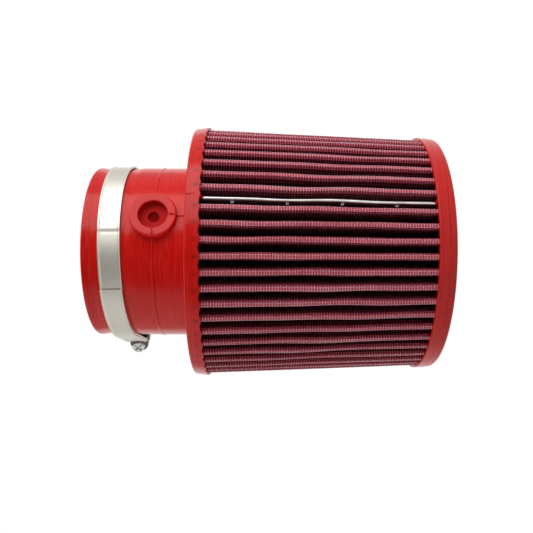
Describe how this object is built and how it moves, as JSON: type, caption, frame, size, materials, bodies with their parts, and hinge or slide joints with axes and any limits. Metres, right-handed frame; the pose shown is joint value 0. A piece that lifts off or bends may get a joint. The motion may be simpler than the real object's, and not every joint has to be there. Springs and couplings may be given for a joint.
{
  "type": "cone air filter",
  "caption": "Cone air filter: pleated gauze pack between wire meshes, cast into a soft red neck with a side port and a soft red end cap, with a worm-drive hose clamp on the neck.",
  "frame": {"origin": "centre of the end cap's outer face, on which the filter stands", "axes": "+Z along the filter's axis from the cap to the open mouth, -Y towards the camera's side, from which the port and the pack's seam are turned about 20 degrees towards +X"},
  "size_m": [0.1466, 0.1466, 0.1945],
  "materials": {
    "soft_red": "satin",
    "gauze": "oiled",
    "mesh": "satin",
    "strip": "satin",
    "clamp": "satin",
    "screw": "satin"
  },
  "bodies": {
    "filter": {"neck_flange": "soft_red", "end_cap": "soft_red", "cotton_gauze": "gauze", "outer_mesh": "mesh", "inner_mesh": "mesh", "seam_strip": "strip", "seam_staples": "strip", "clamp_band": "clamp", "clamp_saddle": "clamp", "clamp_housing": "clamp"},
    "screw": {"clamp_screw": "screw"}
  },
  "joints": [
    {"name": "screw_turn", "type": "hinge", "parent": "filter", "child": "screw", "pos_m": [-0.0548, 0.03165, 0.1775], "axis": [0.5, 0.866, 0.0077], "continuous": true}
  ]
}
